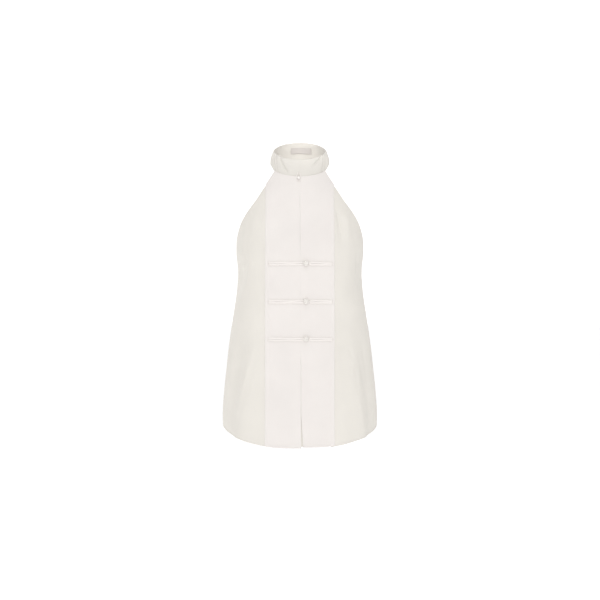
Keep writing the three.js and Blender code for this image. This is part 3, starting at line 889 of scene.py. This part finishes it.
# The shares of a collar crease over which it starts and ends
COLLAR_CREASE_START = (-0.15, 0.3)
COLLAR_CREASE_END = (0.6, 0.45)

# Fullness of the doubled collar, its rolled top edge and its sewn foot
COLLAR_PUFF = 0.45
TOP_ROLL = {"height": 0.35, "from_edge": 2.2, "width": 1.6}
FOOT_DENT = {"depth": 0.15, "width": 1.6}


def collar_relief(angle, up):
    angle = wrapped(angle)
    seam = SEAM_AT_BOTTOM + (SEAM_AT_TOP - SEAM_AT_BOTTOM) * up
    aside = np.abs(angle) - seam
    relief = sum(height * bell(aside - at, width) for height, at, width in SEAM_RELIEF)
    relief = relief + SEAM_SWELL["height"] * grown(aside, SEAM_SWELL["starts"], SEAM_SWELL["ends"])
    per_degree = math.radians(1) * COLLAR_RADIUS
    for angle_0, up_0, angle_1, up_1, width, height in COLLAR_CREASES:
        dx, dz = wrapped(angle - angle_0) * per_degree, (up - up_0) * COLLAR_HEIGHT
        t, across = beside(dx, dz, (angle_1 - angle_0) * per_degree, (up_1 - up_0) * COLLAR_HEIGHT)
        ends = grown(t, COLLAR_CREASE_START, COLLAR_CREASE_END)
        relief = relief + height * ends * bell(across, width)
    return relief


def collar_point(angle, up, lift, relief=1.0):
    angle, up, lift = np.broadcast_arrays(*(np.asarray(a, float) for a in (angle, up, lift)))
    sine, cosine = np.sin(np.radians(angle)), np.cos(np.radians(angle))
    turn = np.abs(wrapped(angle))

    def ring(size):
        return size[0] * sine, -np.where(cosine > 0, size[1], size[2]) * cosine

    (x_0, y_0), (x_1, y_1) = ring(COLLAR_BOTTOM), ring(COLLAR_TOP)
    bulge = COLLAR_BULGE * sine**4 * np.sin(math.pi * np.clip(up, 0, 1)) + lift
    bulge = bulge + relief * collar_relief(angle, up)
    x = x_0 + (x_1 - x_0) * up + bulge * sine
    y = y_0 + (y_1 - y_0) * up - bulge * cosine
    bottom = smooth(COLLAR_SEAM, turn, 1)
    top = COLLAR_TOP_MIDDLE - COLLAR_TILT * cosine
    return np.stack([x, y, bottom + (top - bottom) * up], -1)


def standing_collar():
    opening = math.degrees(COLLAR_GAP / 2 / COLLAR_BOTTOM[1])
    u = parted(1.6, first=((0.5, 4),), last=((0.5, 4),), length=370)
    v = parted(1.5, first=((0.4, 3.2),), last=((0.4, 3.2),), length=38)
    angle = opening + (360 - 2 * opening) * u[None, :] + 0 * v[:, None]
    up = v[:, None] + 0 * u[None, :]
    puff = COLLAR_PUFF * np.sin(math.pi * up) ** 0.6
    from_top = (1 - up) * COLLAR_HEIGHT
    top_roll = TOP_ROLL["height"] * bell(from_top - TOP_ROLL["from_edge"], TOP_ROLL["width"])
    foot = -FOOT_DENT["depth"] * bell(up * COLLAR_HEIGHT, FOOT_DENT["width"])
    half = COLLAR_CLOTH / 2
    outer = collar_point(angle, up, half + puff + top_roll + foot)
    inner = collar_point(angle, up, -half - 0.1 * puff, relief=INNER_RELIEF)
    return shell("standing_collar", outer, inner, shaded_collar_cloth, "cloth", rounding=0.8)


def label_lip(across, down):
    """How far the label's lower edge hangs away from the collar."""
    return LABEL["lip"] * bell(across - 0.5, LABEL["lip_width"]) * down**2


def collar_label():
    u, v = np.linspace(0, 1, 60), np.linspace(0, 1, 20)
    middle = 180 - math.degrees(LABEL["x"] / COLLAR_TOP[2])
    half = math.degrees(LABEL["width"] / 2 / COLLAR_TOP[0]) * LABEL["ease"]
    span = COLLAR_TOP_MIDDLE + COLLAR_TILT - COLLAR_SEAM[-1, 1]

    def up_at(down):
        return (LABEL["middle"] + LABEL["height"] * (0.5 - down) - COLLAR_SEAM[-1, 1]) / span

    up = up_at(v)[:, None] + 0 * u[None, :]
    angle = middle + half * (2 * u - 1)[None, :] + 0 * v[:, None]
    face = -COLLAR_CLOTH / 2 - LABEL["lift"]
    lip = label_lip(u[None, :], v[:, None])
    inner = collar_point(angle, up, face - LABEL["thickness"] - lip, relief=INNER_RELIEF)
    outer = collar_point(angle, up, face - lip, relief=INNER_RELIEF)
    piece = shell("label_tape", outer, inner, label_cloth, "label")
    lines = []
    for share in (0.03, 0.97):
        v_row = np.linspace(0.06, 0.94, 24)
        at = angle[0, 0] + (angle[0, -1] - angle[0, 0]) * share
        depth = face - LABEL["thickness"] - label_lip(share, v_row)
        points = collar_point(at, up_at(v_row), depth, relief=INNER_RELIEF)
        inward = collar_point(at, up_at(v_row), depth - 1, relief=INNER_RELIEF) - points
        lines.append((points, inward))
    return piece, stitches("label_stitches", lines, length=1.4, gap=0.5, radius=0.16)


# Fastenings

# A cord lies CORD_LIFT off the form, less what it is drawn down, and is CORD_FLAT high. Its ends
# narrow to a share of its width, and it swings a little to either side.
CORD_LIFT = BAND_LIFT + CLOTH + SEAM_GAP
CORD_SINK = 0.2
CORD_FLAT = 1.6
CORD_FULLNESS = 0.04
CORD_END = 0.55
CORD_SWING = 0.12
CORD_SWING_LENGTH = 9

# How far in from a cord's outer end its stitches are
CATCH_STITCHES = (1.2, 3)


def frames_on_body(x, z, lift):
    """A path on the front and, for each of its points, the unit vectors aside and out."""
    path, normal = line_on_body(angle_at_width(x, z), z, lift)
    along = unit(np.gradient(path, axis=0))
    aside = unit(np.cross(normal, along))
    return path, (aside, np.cross(along, aside))


def cord_piece(name, xs, zs):
    """A cord along a path on the front, with the slight unevenness of hand-laid cord."""
    walked = np.concatenate([[0], np.cumsum(np.hypot(np.diff(xs), np.diff(zs)))])
    zs = zs + CORD_SWING * np.sin(walked / CORD_SWING_LENGTH + xs[0])
    path, frames = frames_on_body(xs, zs, CORD_LIFT - CORD_SINK + CORD_FLAT / 2)
    half = CORD_WIDTH / 2 + CORD_FULLNESS
    part = tube(path, frames, half, CORD_FLAT / 2, sides=20, square=2.8)
    return object_of(name, *part, lightened_cord_cloth, "cord")


def loop_cord(index, level):
    half = CORD_SPACING / 2
    start = math.asin(half / LOOP_RADIUS)
    button_level = level + BUTTON_RISE
    straight = np.linspace(LOOP_OUTER_X, BUTTON_X - LOOP_RADIUS * 2, 46)
    turn = math.pi - start - (2 * math.pi - 2 * start) * np.linspace(0, 1, 40)
    xs = np.concatenate([straight, BUTTON_X + LOOP_RADIUS * np.cos(turn), straight[::-1]])
    zs = np.concatenate([
        level + half + 0 * straight,
        button_level + LOOP_RADIUS * np.sin(turn),
        level - half + 0 * straight,
    ])
    return cord_piece(f"fastening_loop_{index}", xs, zs)


def tail_cord(index, level):
    half = CORD_SPACING / 2
    straight = np.linspace(TAIL_OUTER_X, TAIL_INNER_X, 30)
    turn = np.radians(np.linspace(15, 165, 11))
    xs = np.concatenate([straight, TAIL_INNER_X - half * np.sin(turn), straight[::-1]])
    zs = np.concatenate([
        level + half + 0 * straight,
        level + half * np.cos(turn),
        level - half + 0 * straight,
    ])
    return cord_piece(f"fastening_tail_{index}", xs, zs)


def cord_stitches(index, level):
    """Small stitches that catch the outer ends of each cord down to the band."""
    lines = []
    over_cord = 0.5 + 0.5 * np.cos(np.linspace(-1.1, 1.1, 7))
    lift = CORD_LIFT - CORD_SINK + CORD_FLAT * over_cord
    from_loops = [LOOP_OUTER_X + inward for inward in CATCH_STITCHES]
    from_tails = [TAIL_OUTER_X - inward for inward in CATCH_STITCHES]
    for x in from_loops + from_tails:
        for sign in (-1, 1):
            z_row = level + sign * CORD_SPACING / 2 + np.linspace(-1.7, 1.7, 7)
            lines.append(line_on_body(angle_at_width(x, z_row), z_row, lift[:, None]))
    return stitches(f"fastening_stitches_{index}", lines, length=2.6, gap=0.3, radius=0.2)


def turned_piece(name, profile, x, z, material, segments=40):
    """A turned piece that stands on the front, with its axis along the cloth's normal."""
    x, z = np.array([x], float), np.array([z], float)
    angle = angle_at_width(x, z)
    foot, normal = body_point(angle, z)[0], body_normal(angle, z)[0]
    aside = unit(np.cross(normal, (0, 0, 1)))
    up = np.cross(normal, aside)
    turn = np.linspace(0, 2 * math.pi, segments, endpoint=False)
    circle = np.cos(turn)[:, None] * aside + np.sin(turn)[:, None] * up
    rings = [foot + normal * height + radius * circle for radius, height in profile]
    points = np.concatenate(rings)
    faces = ring_faces(len(profile), segments)
    middle = points.mean(0)
    first = points[[f[0] for f in faces]]
    second, third = points[[f[1] for f in faces]], points[[f[2] for f in faces]]
    cross = np.cross(second - first, third - first)
    if ((first - middle) * cross).sum() < 0:
        faces = [face[::-1] for face in faces]
    return object_of(name, points, faces, None, material, "button")


def button(index, level):
    """A button with a shank, a rounded rim and a dished face; its profile is (radius, height)."""
    foot = BAND_LIFT + CLOTH
    under = CORD_LIFT + CORD_HEIGHT + 0.2
    top = under + BUTTON_THICKNESS
    r = BUTTON_RADIUS
    shank = [(0.3, foot), (1.9, foot), (1.8, foot + 0.6), (1.8, under - 0.3), (2.4, under)]
    underside = [(r - 1.6, under + 0.05), (r - 0.7, under + 0.35), (r - 0.15, under + 0.95)]
    rim = [(r, under + 1.6), (r - 0.1, under + 2.2), (r - 0.45, top - 0.25), (r - 0.9, top)]
    dish = [(r - 1.4, top - 0.1), (r - 1.8, top - 0.5), (r - 2.3, top - 0.95)]
    well = [(r - 3.2, top - 1.15), (r - 4.6, top - 1.2), (0.3, top - 1.2)]
    profile = shank + underside + rim + dish + well
    place = BUTTON_X, level + BUTTON_RISE
    return turned_piece(f"button_disc_{index}", profile, *place, shell_button)


def neck_fastening():
    foot = BAND_LIFT + CLOTH
    middle = foot + BALL_HEIGHT + 0.3
    start = math.asin(BALL["shank"] / BALL["radius"])
    arc = [
        (BALL["radius"] * math.sin(t), middle - BALL_HEIGHT * math.cos(t))
        for t in np.linspace(start, math.pi - 0.06, 18)
    ]
    profile = [(0.3, foot), (BALL["shank"], foot), *arc]
    ball = turned_piece("neck_ball_button", profile, BALL["x"], BALL["z"], ball_button, 32)
    half = (NECK_LOOP["top"] - NECK_LOOP["bottom"]) / 2
    centre = (NECK_LOOP["top"] + NECK_LOOP["bottom"]) / 2
    split = math.radians(NECK_LOOP["open_angle"])
    turn = split + (2 * math.pi - 2 * split) * np.linspace(0, 1, 90)
    tapered = NECK_LOOP["half_width"] * np.sin(turn) * (1 - NECK_LOOP["taper"] * np.cos(turn))
    xs = BALL["x"] + tapered
    zs = centre + half * np.cos(turn)
    lift = NECK_LOOP["lift"] + NECK_LOOP["height"] / 2 - NECK_LOOP["sink"]
    path, frames = frames_on_body(xs, zs, lift)
    part = tube(path, frames, NECK_LOOP["cord"] / 2, NECK_LOOP["height"] / 2)
    return ball, object_of("neck_cord_loop", *part, lightened_cord_cloth, "cord")


front_right, sewing_1 = side_front(-1, "side_front_right")
front_left, sewing_2 = side_front(1, "side_front_left")
band_right, sewing_3 = front_band(-1, "front_band_right")
band_left, sewing_4 = front_band(1, "front_band_left")
guard = opening_guard()
back, sewing_5 = low_back()
collar = standing_collar()
label, label_sewing = collar_label()

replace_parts(front_right, "front_right")
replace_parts(front_left, "front_left")
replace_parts(band_right, "band_right")
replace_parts(band_left, "band_left")
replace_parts(guard, "opening_guard")
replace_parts(back, "back")
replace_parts(collar, "collar")
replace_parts(label, "collar_label")
for number, fastening_level in enumerate(FASTENING_LEVELS, 1):
    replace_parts(loop_cord(number, fastening_level), f"cord_loop_{number}")
    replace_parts(tail_cord(number, fastening_level), f"cord_tail_{number}")
    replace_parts(button(number, fastening_level), f"button_{number}")
    cord_stitches(number, fastening_level)
neck_ball, neck_loop = neck_fastening()
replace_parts(neck_ball, "neck_ball")
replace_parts(neck_loop, "neck_loop")

# Floor, light and camera
FLOOR_LEVEL = -1.1
FLOOR_SIZE = 80
FLOOR_GLOW = 0.36
STUDIO_STRENGTH = 1.25

# The studio around the garment: bright straight behind it, dimmer beside that, even in front.
# Each row has how far toward the back it is, from 0 to 1, and its share of the strength.
STUDIO = ((0, 0.56), (0.5, 0.56), (0.62, 0.48), (0.9, 0.5), (0.96, 1))

bpy.ops.mesh.primitive_grid_add(
    size=FLOOR_SIZE, x_subdivisions=8, y_subdivisions=8, location=(0, 0, FLOOR_LEVEL)
)
floor = bpy.context.active_object
floor.name = "floor"
floor_material, _, floor_shader = new_material("pale_floor", (0.97, 0.97, 0.97), 0.9, specular=0.1)
floor_shader.inputs["Emission Color"].default_value = (1, 1, 1, 1)
floor_shader.inputs["Emission Strength"].default_value = FLOOR_GLOW
floor.data.materials.append(floor_material)

scene = bpy.context.scene
world = bpy.data.worlds.new("studio")
scene.world = world
world.use_nodes = True
nodes, links = world.node_tree.nodes, world.node_tree.links
background = nodes["Background"]
direction = nodes.new("ShaderNodeTexCoord")
parts = nodes.new("ShaderNodeSeparateXYZ")
spread = nodes.new("ShaderNodeMapRange")
studio = nodes.new("ShaderNodeValToRGB")
spread.inputs["From Min"].default_value = -1
studio.color_ramp.interpolation = "EASE"
while len(studio.color_ramp.elements) < len(STUDIO):
    studio.color_ramp.elements.new(0.5)
for stop, (toward_back, light) in zip(studio.color_ramp.elements, STUDIO):
    stop.position = toward_back
    stop.color = (light, light, light, 1)
links.new(direction.outputs["Generated"], parts.inputs[0])
links.new(parts.outputs["Y"], spread.inputs["Value"])
links.new(spread.outputs["Result"], studio.inputs["Fac"])
links.new(studio.outputs["Color"], background.inputs["Color"])
background.inputs["Strength"].default_value = STUDIO_STRENGTH


def placed_light(name, kind, place, target, power):
    """A light at place that shines toward target, both in metres, with its power in watts."""
    lamp = bpy.data.lights.new(name, kind)
    lamp.energy = power
    holder = bpy.data.objects.new(name, lamp)
    scene.collection.objects.link(holder)
    holder.location = place
    away = np.array(place, float) - np.array(target, float)
    tilt = math.atan2(math.hypot(away[0], away[1]), away[2])
    holder.rotation_euler = (tilt, 0, math.atan2(away[1], away[0]) + math.pi / 2)
    return holder


def area_light(name, place, target, size, power):
    lamp = placed_light(name, "AREA", place, target, power).data
    lamp.shape = "RECTANGLE"
    lamp.size, lamp.size_y = size


area_light("key", (-0.05, -3.9, 1.25), (0, 0, -0.25), (1.3, 1.3), 23)
area_light("top", (0, -1.3, 2.7), (0, -0.1, -0.15), (2.2, 1.6), 22)
area_light("back_light", (-2.2, 2.8, 0.9), (0, 0, -0.35), (0.9, 0.9), 22)

# A narrow beam over the collar's front edge lights the inside of its back.
BEAM_DEGREES = 8
beam = placed_light("collar_beam", "SPOT", (0.01, -0.8, 0.43), (0.002, 0.05, 0.038), 20)
beam.data.spot_size = math.radians(BEAM_DEGREES)
beam.data.spot_blend = 1
beam.data.shadow_soft_size = 0.05
beam.visible_camera = False

# The camera looks level along +Y at the garment, from where the photograph was taken.
PIXELS = 600
CAMERA_DISTANCE = 3.2
METRES_PER_PIXEL = 0.0023
GARMENT_MIDDLE_PIXEL = 299.8
MIDDLE_LEVEL = -0.31
SENSOR = 36
camera_data = bpy.data.cameras.new("camera")
camera_data.sensor_width = SENSOR
camera_data.lens = SENSOR * CAMERA_DISTANCE / (PIXELS * METRES_PER_PIXEL)
camera = bpy.data.objects.new("camera", camera_data)
scene.collection.objects.link(camera)
camera_x = (PIXELS / 2 - GARMENT_MIDDLE_PIXEL) * METRES_PER_PIXEL
camera.location = (camera_x, -CAMERA_DISTANCE, MIDDLE_LEVEL)
camera.rotation_euler = (math.pi / 2, 0, 0)
scene.camera = camera

scene.view_settings.view_transform = "Standard"
scene.view_settings.look = "None"
